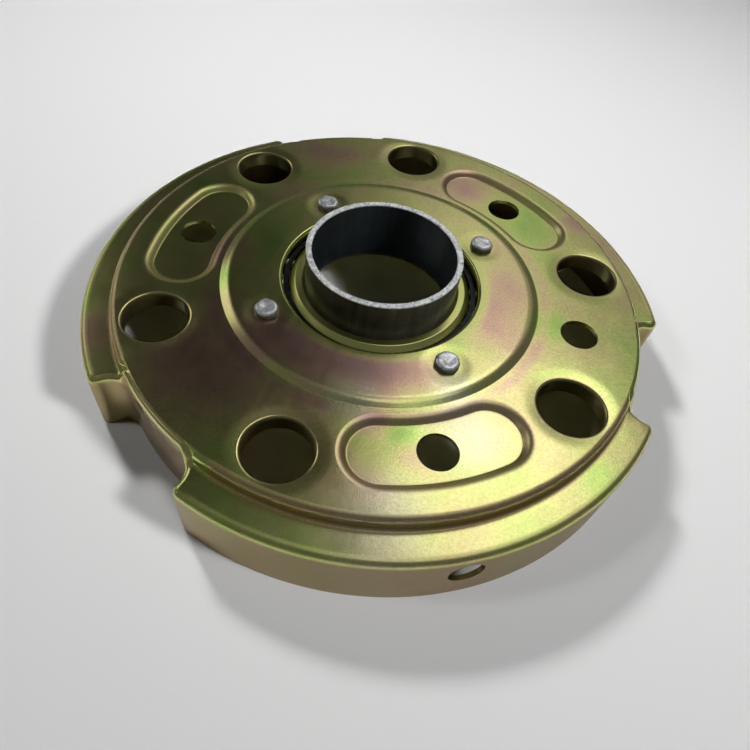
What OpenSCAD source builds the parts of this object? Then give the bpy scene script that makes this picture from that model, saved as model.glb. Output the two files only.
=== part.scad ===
// Roller shutter pulley: a pressed steel wheel with three lobes, carried by a
// ball race on a short hub tube. Millimetres, +Z up. The origin lies on the axis,
// level with the wheel's main face, and the plain hole beside notch 1 lies on +X.

/* [Wheel outline] */
// Diameter over the lobes, on which the curtain lies
wheel_d = 200; // [196:1:240]
// Diameter over the walls at the bottom of the notches
notch_d = 180; // [174:1:188]
// Number of lobes, with a notch between each two
lobe_count = 3; // [2:1:3]
// Angle between the two side walls of a notch
notch_angle = 26; // [20:1:28]
// Turn of the notches from the middle between the drawn holes
notch_turn = -1.2; // [-2:0.1:0]
// Radius of the hollow upright corner at a lobe's foot, seen from above
foot_corner_r = 7; // [5:0.1:7.5]
// Radius of the round upright corner at a lobe's crest
crest_corner_r = 2.8; // [2.2:0.1:3.4]

/* [Pressing] */
// Thickness of the sheet
sheet_t = 1.5; // [1:0.1:2]
// Depth from the main face to the free edge of the rim
rim_depth = 28; // [20:1:50]
// Drop from the main face to the ledge round each lobe
ledge_drop = 5; // [3:0.1:7]
// Outside radius of the bends
bend_r = 2; // [1.6:0.1:3]
// Radius of the hollow fillet between the face's wall and the ledge
step_fillet_r = 0.8; // [0.4:0.1:1.5]
// Rise of the round plateau that carries the race
plateau_rise = 1.2; // [0.6:0.1:2]
// Width of the slope that leads up to the plateau
plateau_slope = 2.7; // [1.5:0.1:4]
// Width between the rivet circle and the foot of that slope
plateau_land = 12.5; // [9:0.1:14]

/* [Kidney recesses] */
// Depth of a kidney recess
kidney_depth = 1.8; // [1:0.1:2.5]
// Width of its sloping wall
kidney_slope = 1.3; // [0.8:0.1:2]
// Flat width between the recess and the foot of the plateau
kidney_inner_land = 3.4; // [2.5:0.1:5]
// Flat width between the recess and the notch circle
kidney_outer_land = 10; // [8:0.1:12]
// Angle from the middle of a recess to the centre of its round end
kidney_half_angle = 13.9; // [8:0.1:15]

/* [Holes] */
// Diameter of the six drawn holes
drawn_hole_d = 20.4; // [14:0.1:22]
// Angle from the middle of a notch to each drawn hole
drawn_hole_angle = 24.3; // [23:0.1:26]
// Flat width between a drawn hole's collar and the rim wall
drawn_hole_land = 1.1; // [0.6:0.1:4]
// Wall thickness of the drawn collar
collar_t = 1.2; // [0.8:0.1:1.4]
// Depth of the drawn collar below the main face
collar_depth = 5.5; // [3:0.1:8]
// Radius of the lip at the top of a drawn hole
lip_r = 1.1; // [0.6:0.1:1.5]
// Diameter of the plain hole in each recess, and of the one beside notch 1
plain_hole_d = 12.5; // [8:0.1:14]
// Diameter of the fixing hole in the rim of one lobe
rim_hole_d = 10.6; // [5:0.1:13]
// Depth of the fixing hole's centre below the main face
rim_hole_depth = 14; // [13:0.1:15]
// Direction of the fixing hole, round from notch 1
rim_hole_angle = 300.6; // [285:0.1:315]

/* [Hub] */
// Bore of the hub tube, a clear fit on the shutter's shaft tube
bore_d = 48.5; // [44:0.1:52]
// Wall thickness of the hub tube
tube_wall = 2; // [1.5:0.1:2.5]
// Height of the hub tube above the main face
tube_stand = 12.7; // [8:0.1:30]
// Length of the flare that locks the tube in the inner race
flare_len = 2.1; // [1:0.1:2.5]
// Outward spread of the flare
flare_out = 1.15; // [0.5:0.05:1.5]

/* [Ball race] */
// Width of the inner race ring
inner_race_w = 5.3; // [4.5:0.1:7]
// Chamfer at the top of its bore, where the tube is let in
race_lead = 1.1; // [0.5:0.1:1.5]
// Depth of the ball groove in the inner race ring
groove_depth = 1.15; // [0.8:0.05:1.3]
// Diameter of the balls
ball_d = 6; // [5.6:0.1:6.4]
// Number of balls
ball_count = 20; // [14:1:22]
// Depth of the ball centres below the main face
ball_depth = 6; // [5.8:0.1:7]
// Radial clearance between a ball and its grooves
ball_clear = 0.05; // [0.02:0.01:0.1]
// Height of the inner race ring's top above the ball centres
race_rise = 5; // [4.2:0.1:5.5]
// Height of the inner race ring's foot below the ball centres
race_fall = 5.1; // [4.2:0.1:5.5]
// Width of the open gap between the inner race and the wheel's mouth
mouth_gap = 2.45; // [2.3:0.05:2.8]
// Radius of the rounded edge of the mouth
mouth_edge_r = 1; // [0.6:0.1:1.4]
// Thickness of the ball cage
cage_t = 0.7; // [0.5:0.1:0.8]
// Clearance round the ball cage
cage_clear = 0.4; // [0.3:0.05:0.6]
// Width of the race plate's flange inside the rivets
flange_inner_land = 4.3; // [3.6:0.1:6]
// Width of the race plate's flange outside the rivets
flange_outer_land = 5.7; // [4:0.1:8]

/* [Rivets] */
// Number of rivets that hold the race plate
rivet_count = 4; // [4:1:6]
// Diameter of a rivet's shank
shank_d = 4.5; // [3:0.1:5]
// Clearance round a rivet's shank
shank_clear = 0.05; // [0.02:0.01:0.2]
// Diameter of the peened head on the face
peened_d = 8.4; // [7:0.1:9.4]
// Height of the peened head
peened_h = 2.2; // [1.6:0.1:3]
// Diameter of the set head below
set_head_d = 7.4; // [6:0.1:8]
// Height of the set head
set_head_h = 2; // [1:0.1:2.5]

/* [Hidden] */
$fn = 96;

// Overshoot of a cutting tool past the face that it cuts
cut = 1;
// How far a notch's outline runs into the drum and out past the crest
wall_bite = 3;
// Least overlap between solids that would otherwise only touch
sliver = 0.03;
// How much wider a kidney's round end is than its bent middle, so that they cross
end_grow = 4 * sliver;
// Straight pieces that make up one upright corner
corner_steps = 8;
steel_yellow = [0.72, 0.70, 0.40];
steel_grey = [0.72, 0.73, 0.72];
steel_dark = [0.34, 0.35, 0.33];

wheel_r = wheel_d / 2;
notch_r = notch_d / 2;
// The two corners share the depth of the notch
notch_depth = wheel_r - notch_r;
foot_corner = min(foot_corner_r, 0.7 * notch_depth);
crest_corner = min(crest_corner_r, 0.28 * notch_depth);
lobe_pitch = 360 / lobe_count;
side_angle = notch_angle / 2;
// Directions of the hollow corner at a lobe's foot and of the round one at its crest
foot_angle = side_angle - asin(foot_corner / (notch_r + foot_corner));
crest_angle = side_angle + asin(crest_corner / (wheel_r - crest_corner));
foot_centre = (notch_r + foot_corner) * [cos(foot_angle), sin(foot_angle)];
crest_centre = (wheel_r - crest_corner) * [cos(crest_angle), sin(crest_angle)];

// The hub and its race, from the bore outwards
bore_r = bore_d / 2;
tube_r = bore_r + tube_wall;
inner_race_r = tube_r + inner_race_w;
ball_r = ball_d / 2;
groove_r = ball_r + ball_clear;
ball_pitch_r = inner_race_r - groove_depth + groove_r;
mouth_r = inner_race_r + mouth_gap;
mouth_back_r = mouth_r + sheet_t;
cup_r = ball_pitch_r + groove_r;
rivet_r = cup_r + sheet_t + flange_inner_land;
flange_r = rivet_r + flange_outer_land;
plateau_r = rivet_r + plateau_land;

// Levels
plateau_z = plateau_rise;
plateau_back_z = plateau_z - sheet_t;
flange_back_z = plateau_back_z - sheet_t;
ball_z = -ball_depth;
race_top_z = ball_z + race_rise;
race_foot_z = ball_z - race_fall;
ledge_z = -ledge_drop;

// The recesses and holes lie between the plateau and the rim
kidney_in_r = plateau_r + kidney_inner_land;
kidney_out_r = notch_r - kidney_outer_land;
kidney_mid_r = (kidney_in_r + kidney_out_r) / 2;
kidney_half_w = (kidney_out_r - kidney_in_r) / 2;
drawn_hole_r = drawn_hole_d / 2;
collar_r = drawn_hole_r + collar_t;
drawn_hole_pitch_r = notch_r - sheet_t - drawn_hole_land - collar_r;

// Sideways shift of a slope's corners from the face to the back of the sheet
function back_shift(height, run, depth) = depth * tan(atan2(height, run) / 2);

module each_notch() {
    for (k = [0:lobe_count - 1])
        rotate([0, 0, k * lobe_pitch])
            children();
}

module both_sides() {
    children();
    mirror([0, 1, 0])
        children();
}

function arc_points(centre, radius, from, to) =
    [for (i = [0:corner_steps]) let (a = from + (to - from) * i / corner_steps)
        centre + radius * [cos(a), sin(a)]];

// One side of a notch in plan: a hollow corner at the foot of the drum, a straight
// wall and a round corner at the lobe's crest. Inset moves it into the sheet.
function notch_side(inset) = concat(
    [(notch_r - inset - wall_bite) * [cos(foot_angle), sin(foot_angle)]],
    arc_points(foot_centre, foot_corner + inset + 2 * sliver, foot_angle + 180, side_angle + 90),
    arc_points(crest_centre, crest_corner - inset - sliver, side_angle - 90, crest_angle),
    [(wheel_r / cos(crest_angle) + wall_bite) * [cos(crest_angle), sin(crest_angle)]]
);

module notch_plan(inset) {
    side = notch_side(inset);
    polygon(concat(side, [for (i = [len(side) - 1:-1:0]) [side[i].x, -side[i].y]]));
}

// Step with its upper edge rolled over by a quarter round
module rolled_step(r, top_z, low_z, roll) {
    translate([0, low_z])
        square([r - roll, top_z - low_z]);
    translate([0, low_z])
        square([r, top_z - roll - low_z]);
    intersection() {
        translate([r - roll, top_z - roll])
            circle(r = roll);
        translate([r - 2 * roll, top_z - 1.5 * roll])
            square([2 * roll, 1.5 * roll]);
    }
}

// Hollow fillet where the wall of the face meets the ledge
module step_fillet(r, radius) {
    difference() {
        translate([r - sliver, ledge_z - sliver])
            square(radius + sliver);
        translate([r + radius, ledge_z + radius])
            circle(r = radius);
    }
}

// Round plateau with a sloping edge, raised out of the face
module plateau_profile(inset) {
    foot_r = plateau_r - back_shift(plateau_rise, plateau_slope, inset);
    polygon([
        [0, -inset - cut],
        [foot_r, -inset - cut],
        [foot_r, -inset],
        [foot_r - plateau_slope, plateau_z - inset],
        [0, plateau_z - inset]
    ]);
}

// Skin of the wheel: plateau, face, ledge and skirt turned as one, then notched. Inset 0
// is the outer skin, and an inset of one sheet thickness is the inner skin.
module rim_skin(inset) {
    low_z = -rim_depth - (inset > 0 ? cut : 0);
    difference() {
        rotate_extrude() {
            rolled_step(notch_r - inset, -inset, low_z, bend_r - inset);
            rolled_step(wheel_r - inset, ledge_z - inset, low_z, bend_r - inset);
            plateau_profile(inset);
            if (inset == 0)
                step_fillet(notch_r, step_fillet_r);
        }
        translate([0, 0, low_z - cut])
            linear_extrude(rim_depth + 4 * cut)
                rotate(notch_turn)
                    each_notch()
                        difference() {
                            notch_plan(inset);
                            circle(r = notch_r - inset - sliver);
                        }
    }
}

// Dish with a sloping edge: half width w at the face level, less at the floor
module dish_profile(start_x, w, drop, run, rise) {
    polygon([
        [start_x - w, rise],
        [start_x - w, 0],
        [start_x - w + run, -drop],
        [start_x + w - run, -drop],
        [start_x + w, 0],
        [start_x + w, rise]
    ]);
}

module round_dish(w, drop, run, rise) {
    rotate_extrude()
        polygon([
            [0, rise],
            [0, -drop],
            [w - run, -drop],
            [w, 0],
            [w, rise]
        ]);
}

// A kidney is a dish bent round the axis, with a round dish at each end
module kidney(w, rise) {
    rotate([0, 0, lobe_pitch / 2 - kidney_half_angle])
        rotate_extrude(angle = 2 * kidney_half_angle)
            dish_profile(kidney_mid_r, w, kidney_depth, kidney_slope, rise);
    for (way = [-1, 1])
        rotate([0, 0, lobe_pitch / 2 + way * kidney_half_angle])
            translate([kidney_mid_r, 0, 0])
                round_dish(w + end_grow, kidney_depth, kidney_slope, rise);
}

module at_drawn_holes() {
    each_notch()
        both_sides()
            rotate([0, 0, drawn_hole_angle])
                translate([drawn_hole_pitch_r, 0, 0])
                    children();
}

module at_rivet(i) {
    rotate([0, 0, (i - 0.5) * 360 / rivet_count])
        translate([rivet_r, 0, 0])
            children();
}

// Cutting ring that rounds a hole's upper edge over to a lip
module lip_ring(hole_r, radius) {
    rotate_extrude()
        difference() {
            translate([hole_r - cut, -radius])
                square([radius + cut, radius + cut]);
            translate([hole_r + radius, -radius])
                circle(r = radius);
            translate([hole_r + radius, -radius])
                square([cut, radius + 2 * cut]);
        }
}

// Sheet that hangs below the main face: recess floors, collars and the mouth's wall
module pressed_backs() {
    translate([0, 0, -sheet_t])
        each_notch()
            kidney(kidney_half_w + back_shift(kidney_depth, kidney_slope, sheet_t), sheet_t);
    at_drawn_holes()
        translate([0, 0, -collar_depth])
            cylinder(r = collar_r, h = collar_depth);
    // The wall of the mouth ends on the ball track
    mouth_foot = sqrt(pow(groove_r, 2) - pow(mouth_back_r - ball_pitch_r, 2)) - 2 * sliver;
    translate([0, 0, ball_z + mouth_foot])
        cylinder(r = mouth_back_r, h = plateau_z - ball_z - mouth_foot);
}

module disc_holes() {
    at_drawn_holes() {
        translate([0, 0, -collar_depth - cut])
            cylinder(r = drawn_hole_r, h = collar_depth + 2 * cut);
        lip_ring(drawn_hole_r, lip_r);
    }
    each_notch()
        rotate([0, 0, lobe_pitch / 2])
            translate([kidney_mid_r, 0, -rim_depth])
                cylinder(d = plain_hole_d, h = rim_depth);
    translate([kidney_mid_r, 0, -rim_depth])
        cylinder(d = plain_hole_d, h = rim_depth + cut);
    rotate([0, 0, rim_hole_angle])
        translate([notch_r, 0, -rim_hole_depth])
            rotate([0, 90, 0])
                cylinder(d = rim_hole_d, h = wheel_r - notch_r + cut);
    for (i = [1:rivet_count])
        at_rivet(i)
            translate([0, 0, -rim_depth])
                cylinder(d = shank_d + 2 * shank_clear, h = rim_depth + plateau_z + cut);
    // The mouth, its rounded edge and the ball track under it
    translate([0, 0, -rim_depth])
        cylinder(r = mouth_r, h = rim_depth + plateau_z + cut);
    translate([0, 0, plateau_z])
        lip_ring(mouth_r, mouth_edge_r);
    ball_track();
}

module ball_track() {
    rotate_extrude()
        translate([ball_pitch_r, ball_z])
            circle(r = groove_r);
}

module pulley_disc() {
    color(steel_yellow)
        difference() {
            rim_skin(0);
            difference() {
                rim_skin(sheet_t);
                pressed_backs();
            }
            each_notch()
                kidney(kidney_half_w, cut);
            disc_holes();
        }
}

// Dished ring riveted under the plateau; its cup closes the outer race
module race_plate() {
    lip_angle = 70;
    color(steel_yellow)
        difference() {
            rotate_extrude() {
                translate([cup_r, flange_back_z])
                    square([flange_r - cup_r, sheet_t]);
                translate([cup_r, ball_z])
                    square([sheet_t, plateau_back_z - ball_z]);
                translate([ball_pitch_r, ball_z])
                    intersection() {
                        difference() {
                            circle(r = groove_r + sheet_t);
                            circle(r = groove_r);
                        }
                        polygon([
                            [0, 0],
                            [2 * groove_r, 0],
                            [2 * groove_r, -3 * groove_r],
                            3 * groove_r * [cos(lip_angle), -sin(lip_angle)]
                        ]);
                    }
            }
            for (i = [1:rivet_count])
                at_rivet(i)
                    translate([0, 0, -rim_depth])
                        cylinder(d = shank_d + 2 * shank_clear, h = rim_depth);
        }
}

// Rivet with a round set head below and a peened, nearly flat head on the plateau
module rivet(i) {
    peened_edge = 0.6;
    peened_crown = 0.15;
    peened_r = peened_d / 2;
    dome_r = (pow(set_head_d / 2, 2) + pow(set_head_h, 2)) / (2 * set_head_h);
    color(steel_grey)
        at_rivet(i)
            rotate_extrude() {
                translate([0, flange_back_z])
                    square([shank_d / 2, plateau_z - flange_back_z]);
                translate([0, plateau_z])
                    polygon([
                        [0, 0],
                        [peened_r - peened_edge / 2, 0],
                        [peened_r, peened_edge],
                        [peened_r, peened_h - peened_edge - peened_crown],
                        [peened_r - peened_edge, peened_h - peened_crown],
                        [0, peened_h]
                    ]);
                translate([0, flange_back_z])
                    intersection() {
                        translate([0, dome_r - set_head_h])
                            circle(r = dome_r);
                        translate([0, -set_head_h])
                            square([set_head_d / 2, set_head_h]);
                    }
            }
}

// Hub tube, flared at its foot so that the inner race can't slide off
module hub_tube() {
    color(steel_dark)
        rotate_extrude()
            polygon([
                [bore_r, tube_stand],
                [tube_r, tube_stand],
                [tube_r, race_foot_z + flare_len],
                [tube_r + flare_out, race_foot_z],
                [bore_r + flare_out, race_foot_z],
                [bore_r, race_foot_z + flare_len + 0.5]
            ]);
}

module inner_race() {
    edge = 0.6;
    color(steel_yellow)
        rotate_extrude()
            difference() {
                polygon([
                    [tube_r, race_top_z - race_lead],
                    [tube_r + race_lead, race_top_z],
                    [inner_race_r - edge, race_top_z],
                    [inner_race_r, race_top_z - edge],
                    [inner_race_r, race_foot_z],
                    [tube_r + flare_out, race_foot_z],
                    [tube_r, race_foot_z + flare_len]
                ]);
                translate([ball_pitch_r, ball_z])
                    circle(r = groove_r);
            }
}

// Sheet cage: a sleeve with a round pocket for each ball and a flange in the gap
module ball_cage() {
    sleeve_r = mouth_r - cage_clear - cage_t;
    flange_top_z = ball_z + ball_r + cage_clear + cage_t;
    sleeve_foot_z = ball_z - ball_r - cage_clear - cage_t / 2;
    color(steel_dark)
        difference() {
            rotate_extrude() {
                translate([sleeve_r, sleeve_foot_z])
                    square([cage_t, flange_top_z - sleeve_foot_z]);
                translate([inner_race_r + cage_clear, flange_top_z - cage_t])
                    square([mouth_gap - 2 * cage_clear, cage_t]);
            }
            for (i = [1:ball_count])
                rotate([0, 0, i * 360 / ball_count])
                    translate([ball_pitch_r - 2 * cage_t, 0, ball_z])
                        rotate([0, 90, 0])
                            cylinder(r = ball_r + cage_clear / 2, h = 4 * cage_t);
        }
}

module ball(i) {
    color(steel_grey)
        rotate([0, 0, i * 360 / ball_count])
            translate([ball_pitch_r, 0, ball_z])
                sphere(r = ball_r);
}

pulley_disc();
race_plate();
hub_tube();
inner_race();
ball_cage();
for (i = [1:rivet_count])
    rivet(i);
for (i = [1:ball_count])
    ball(i);
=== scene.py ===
# %% [markdown]
# Roller shutter pulley: a wheel pressed from one sheet of steel, zinc plated and given a
# yellow, rainbow-tinted passivation. Four rivets hold a dished race plate under it, and
# twenty balls carry a short hub tube. The solids give the sizes and the moving bodies, and
# this script adds the rounded pressing, the sawn tube end, the peened rivets and the finishes.

# %% Load the frame
import math
import bpy
import numpy as np
from mathutils import Matrix, Vector
from mathutils.geometry import delaunay_2d_cdt


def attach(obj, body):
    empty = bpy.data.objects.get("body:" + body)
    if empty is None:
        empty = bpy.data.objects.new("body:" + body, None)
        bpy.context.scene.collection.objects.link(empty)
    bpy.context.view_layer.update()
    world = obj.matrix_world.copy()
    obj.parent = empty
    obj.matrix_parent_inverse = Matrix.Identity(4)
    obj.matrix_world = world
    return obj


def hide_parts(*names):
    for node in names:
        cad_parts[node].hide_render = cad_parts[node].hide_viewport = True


MM = 0.001
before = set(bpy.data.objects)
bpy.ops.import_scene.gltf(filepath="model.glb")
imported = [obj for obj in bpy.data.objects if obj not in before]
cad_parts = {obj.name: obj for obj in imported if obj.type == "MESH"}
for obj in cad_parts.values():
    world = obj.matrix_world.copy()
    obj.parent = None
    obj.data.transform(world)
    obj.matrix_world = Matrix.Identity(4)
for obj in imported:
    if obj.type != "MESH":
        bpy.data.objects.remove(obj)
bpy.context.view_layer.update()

# %% [markdown]
# Sizes of the pressing, in millimetres, as the solids have them. The lobes end in S-shaped
# corners, so their outline is drawn as a chain of arcs and straight lines.

# %% Sizes
WHEEL_R, NOTCH_R = 99.96, 89.97
FOOT_C, CREST_C = 7.0, 2.8
SIDE, TURN, LOBES = 13.0, -1.2, 3
RIM_FOOT, LEDGE, SHEET = -28.0, -5.0, 1.5
BEND, STEP_FILLET = 2.0, 0.8
PLATEAU_Z, PLATEAU_IN, PLATEAU_OUT = 1.2, 52.1, 54.8
KIDNEY_R, KIDNEY_W, KIDNEY_A, KIDNEY_Z = 69.1, 10.9, 13.9, -1.8
DRAWN_R, DRAWN_PITCH, DRAWN_A, DRAWN_FOOT, LIP = 10.2, 76.0, 24.3, -5.5, 1.1
PLAIN_R, MOUTH_R, MOUTH_EDGE, MOUTH_FOOT = 6.25, 34.0, 1.0, -3.2
RIVET_PITCH, RIVET_HOLE_R = 42.3, 2.3
RIM_HOLE_R, RIM_HOLE_A, RIM_HOLE_Z = 5.3, 300.6, -14.0


def turn(deg):
    """Unit vector in plan at this angle."""
    a = math.radians(deg)
    return np.array([math.cos(a), math.sin(a)])


def polar(r, a, z):
    c = turn(a)
    return (r * c[0], r * c[1], z)


def arc(centre, radius, a0, a1, n, outward=1):
    """n + 1 points of an arc, each with the normal that points off the sheet."""
    return [(centre + radius * turn(a), outward * turn(a)) for a in np.linspace(a0, a1, n + 1)]


def round_path(points, radii, steps=5):
    """A section of straight lines whose inner corners are rounded to the given radii."""
    pts = [np.array(p, float) for p in points]
    out = [pts[0]]
    for i in range(1, len(pts) - 1):
        p, a, b = pts[i], pts[i - 1] - pts[i], pts[i + 1] - pts[i]
        a, b = a / np.linalg.norm(a), b / np.linalg.norm(b)
        half = math.acos(max(-1, min(1, a @ b))) / 2
        if radii[i - 1] <= 0:
            out.append(p)
            continue
        t = radii[i - 1] / math.tan(half)
        centre = p + (a + b) / np.linalg.norm(a + b) * radii[i - 1] / math.sin(half)
        u, v = p + a * t - centre, p + b * t - centre
        sweep = math.atan2(u[0] * v[1] - u[1] * v[0], u @ v)
        for k in range(steps + 1):
            c, s = math.cos(sweep * k / steps), math.sin(sweep * k / steps)
            out.append(centre + np.array([c * u[0] - s * u[1], s * u[0] + c * u[1]]))
    return out + [pts[-1]]


# %% [markdown]
# A net collects vertices and faces and joins vertices that fall on the same place, so
# strips and flat fills that share a line become one sheet.

# %% Mesh net
class Net:
    def __init__(self, per_mm=500):
        self.verts, self.faces, self.index, self.per_mm = [], [], {}, per_mm

    def vert(self, x, y, z):
        key = tuple(round(c * self.per_mm) for c in (x, y, z))
        if key not in self.index:
            self.index[key] = len(self.verts)
            self.verts.append((x, y, z))
        return self.index[key]

    def face(self, ids):
        clean = [v for i, v in enumerate(ids) if v != ids[i - 1]]
        if len(set(clean)) >= 3 and len(set(clean)) == len(clean):
            self.faces.append(tuple(clean))

    def grid(self, rows, closed):
        """Quads between neighbouring rows of points. Rows run across the sheet's section."""
        ids = [[self.vert(*p) for p in row] for row in rows]
        for i in range(len(ids) if closed else len(ids) - 1):
            a, b = ids[i], ids[(i + 1) % len(ids)]
            for j in range(len(a) - 1):
                self.face([a[j], a[j + 1], b[j + 1], b[j]])

    def fill(self, loops, z, inner=()):
        """Fill inside the first loop, outside the others. z is a height or a function of x, y."""
        pts, edges = [], []
        for loop in loops:
            base = len(pts)
            pts += [tuple(p[:2]) for p in loop]
            edges += [(base + i, base + (i + 1) % len(loop)) for i in range(len(loop))]
        pts += [tuple(p) for p in inner]
        v, _, tris, source, _, _ = delaunay_2d_cdt(pts, edges, [], 1, 1e-5)
        # A point that was handed in keeps its exact place, so that it meets its neighbours
        v = [pts[s[0]] if s else tuple(p) for s, p in zip(source, v)]
        rings = [np.array([p[:2] for p in loop]) for loop in loops]
        for t in tris:
            c = np.mean([v[i] for i in t], axis=0)
            if inside(c, rings[0]) and not any(inside(c, r) for r in rings[1:]):
                a, b, d = (v[i] for i in t)
                flip = (b[0] - a[0]) * (d[1] - a[1]) - (b[1] - a[1]) * (d[0] - a[0]) < 0
                order = (t[0], t[2], t[1]) if flip else t
                self.face([self.vert(*v[i], z(*v[i]) if callable(z) else z) for i in order])

    def to_object(self, name):
        mesh = bpy.data.meshes.new(name)
        mesh.from_pydata([tuple(c * MM for c in v) for v in self.verts], [], self.faces)
        mesh.validate()
        mesh.update()
        obj = bpy.data.objects.new(name, mesh)
        bpy.context.scene.collection.objects.link(obj)
        return obj


def inside(p, ring):
    """Whether a point lies inside a closed ring, by crossings."""
    x, y = ring[:, 0], ring[:, 1]
    x2, y2 = np.roll(x, -1), np.roll(y, -1)
    hit = (y > p[1]) != (y2 > p[1])
    with np.errstate(divide="ignore", invalid="ignore"):
        cross = x + (p[1] - y) * (x2 - x) / (y2 - y)
    return bool(np.count_nonzero(hit & (p[0] < cross)) % 2)


# %% [markdown]
# The outline runs round the wheel: a notch on the drum's circle, a hollow corner, a straight
# side, a round corner, the lobe's crest, and the same mirrored. Each point keeps its normal
# and the height of the edge there. That height is the face's level in a notch and the
# ledge's level on a lobe, and it slides from one to the other in the hollow corner.

# %% Outline of the rim
FOOT_A = SIDE - math.degrees(math.asin(FOOT_C / (NOTCH_R + FOOT_C)))
CREST_A = SIDE + math.degrees(math.asin(CREST_C / (WHEEL_R - CREST_C)))
STEP_W = BEND + STEP_FILLET
STEP_IN_R = NOTCH_R - BEND
STEP_OUT_R = STEP_IN_R + STEP_W
LEDGE_RISE = 0.012


def smooth(x):
    x = max(0.0, min(1.0, x))
    return x * x * (3 - 2 * x)


def ledge_level(x, y):
    """The ledge sprang back a little in the press, so it rises outwards."""
    return LEDGE + LEDGE_RISE * max(0.0, math.hypot(x, y) - STEP_OUT_R)


def half_outline():
    """From the middle of a notch to the middle of the next lobe: point, normal, level."""
    out = [(p, n, 0.0) for p, n in arc(np.zeros(2), NOTCH_R, 0, FOOT_A, 8)]
    foot = (NOTCH_R + FOOT_C) * turn(FOOT_A)
    crest = (WHEEL_R - CREST_C) * turn(CREST_A)
    # In the hollow corner the step has its full width and depth from the angle full_a on
    far, near = NOTCH_R + FOOT_C, FOOT_C + BEND
    ready = math.acos((far ** 2 + near ** 2 - STEP_OUT_R ** 2) / (2 * far * near))
    full_a = FOOT_A + 180 - math.degrees(ready)
    for p, n in arc(foot, FOOT_C, FOOT_A + 180, full_a, 12, -1)[1:]:
        width = np.linalg.norm(p - BEND * n) - STEP_IN_R
        out.append((p, n, LEDGE * smooth(width / STEP_W)))
    lobe = arc(foot, FOOT_C, full_a, SIDE + 90, 8, -1)[1:]
    lobe += arc(crest, CREST_C, SIDE - 90, CREST_A, 12)
    lobe += arc(np.zeros(2), WHEEL_R, CREST_A, 180 / LOBES, 44)[1:]
    return out + [(p, n, ledge_level(*(p - BEND * n))) for p, n in lobe]


def rotate2(p, deg):
    c, s = turn(deg)
    return np.array([c * p[0] - s * p[1], s * p[0] + c * p[1]])


def whole_outline():
    half = half_outline()
    flip = np.array([1, -1])
    back = [(p * flip, n * flip, h) for p, n, h in reversed(half)][1:-1]
    out = []
    for k in range(LOBES):
        a = TURN + k * 360 / LOBES
        out += [(rotate2(p, a), rotate2(n, a), h) for p, n, h in back + half]
    return out


outline = whole_outline()
print("outline points:", len(outline))

# %% [markdown]
# The pressing's outer skin. Strips follow the bends, and flat fills close the areas between
# them. A solidify modifier then gives the sheet its thickness, so the underside shows the
# same forms in reverse, as on a real pressing.

# %% Outer skin of the pressing
skin = Net()
BEND_STEPS = 6
SKIRT_ROWS = [-9.5, -14.0, -18.5, -23.5, RIM_FOOT]
WINDOW_A = 6.2


def quarter(n):
    """Sine and cosine at n + 1 even places of a quarter turn."""
    return [(math.sin(a), math.cos(a)) for a in (math.pi / 2 * k / n for k in range(n + 1))]


def edge_row(p, n, h):
    """Section of the rolled edge and the skirt below it, at one point of the outline."""
    row = []
    for s, c in quarter(BEND_STEPS):
        q = p - n * BEND * (1 - s)
        row.append((q[0], q[1], h - BEND * (1 - c)))
    return row + [(p[0], p[1], z) for z in SKIRT_ROWS]


rim_rows = [edge_row(p, n, h) for p, n, h in outline]
# The window round the fixing hole is left out of the strip and filled apart
angle = [math.degrees(math.atan2(p[1], p[0])) % 360 for p, _, _ in outline]
window = [i for i, a in enumerate(angle) if abs(a - RIM_HOLE_A) < WINDOW_A]
window.sort(key=lambda i: angle[i])
for i, row in enumerate(rim_rows):
    j = (i + 1) % len(rim_rows)
    stop = BEND_STEPS + 1 if i in window and j in window else len(row)
    skin.grid([row[:stop], rim_rows[j][:stop]], False)

# %% [markdown]
# The fixing hole in the skirt is punched through a curved wall. The window round it is
# unrolled to length and height, filled with triangles, and rolled back on the cylinder.

# %% Fixing hole in the skirt
def unroll(a, z):
    return (math.radians(a - RIM_HOLE_A) * WHEEL_R, z)


def hole_circle(r, angles):
    """Points at this distance from the middle of the fixing hole, on the unrolled wall."""
    return [(r * c, RIM_HOLE_Z + r * s) for c, s in (turn(a) for a in angles)]


wall_top = LEDGE - BEND
border = [unroll(angle[i], wall_top) for i in window]
border += [unroll(angle[window[-1]], z) for z in SKIRT_ROWS]
border += [unroll(angle[i], RIM_FOOT) for i in reversed(window[:-1])]
border += [unroll(angle[window[0]], z) for z in reversed(SKIRT_ROWS[:-1])]
# Loose points keep the triangles small: two circles round the hole and a grid farther out
loose = []
for grow in (0.9, 2.4):
    circle = hole_circle(RIM_HOLE_R + grow, range(4, 364, 12))
    loose += [p for p in circle if p[1] < wall_top - 0.4]
for i in window[1:-1]:
    for z in np.arange(-25.5, -7, 2.5):
        q = unroll(angle[i], z)
        if math.hypot(q[0], q[1] - RIM_HOLE_Z) > RIM_HOLE_R + 3.4:
            loose.append(q)
flat = Net()
flat.fill([border, hole_circle(RIM_HOLE_R, range(0, 360, 8))], 0.0, loose)
rolled = [polar(WHEEL_R, RIM_HOLE_A + math.degrees(s / WHEEL_R), z) for s, z, _ in flat.verts]
for f in flat.faces:
    skin.face([skin.vert(*rolled[v]) for v in f])

# %% [markdown]
# Between the face and the ledge stands a low drum wall. Its section is the same all along a
# lobe, and it shrinks to nothing in the hollow corner, where the ledge runs out.

# %% Step and ledge of each lobe
step = [(BEND * s, -BEND * (1 - c)) for s, c in quarter(BEND_STEPS)]
step.append((BEND, LEDGE + STEP_FILLET))
step += [(BEND + STEP_FILLET * (1 - c), LEDGE + STEP_FILLET * (1 - s))
         for s, c in quarter(5)[1:]]


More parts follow.
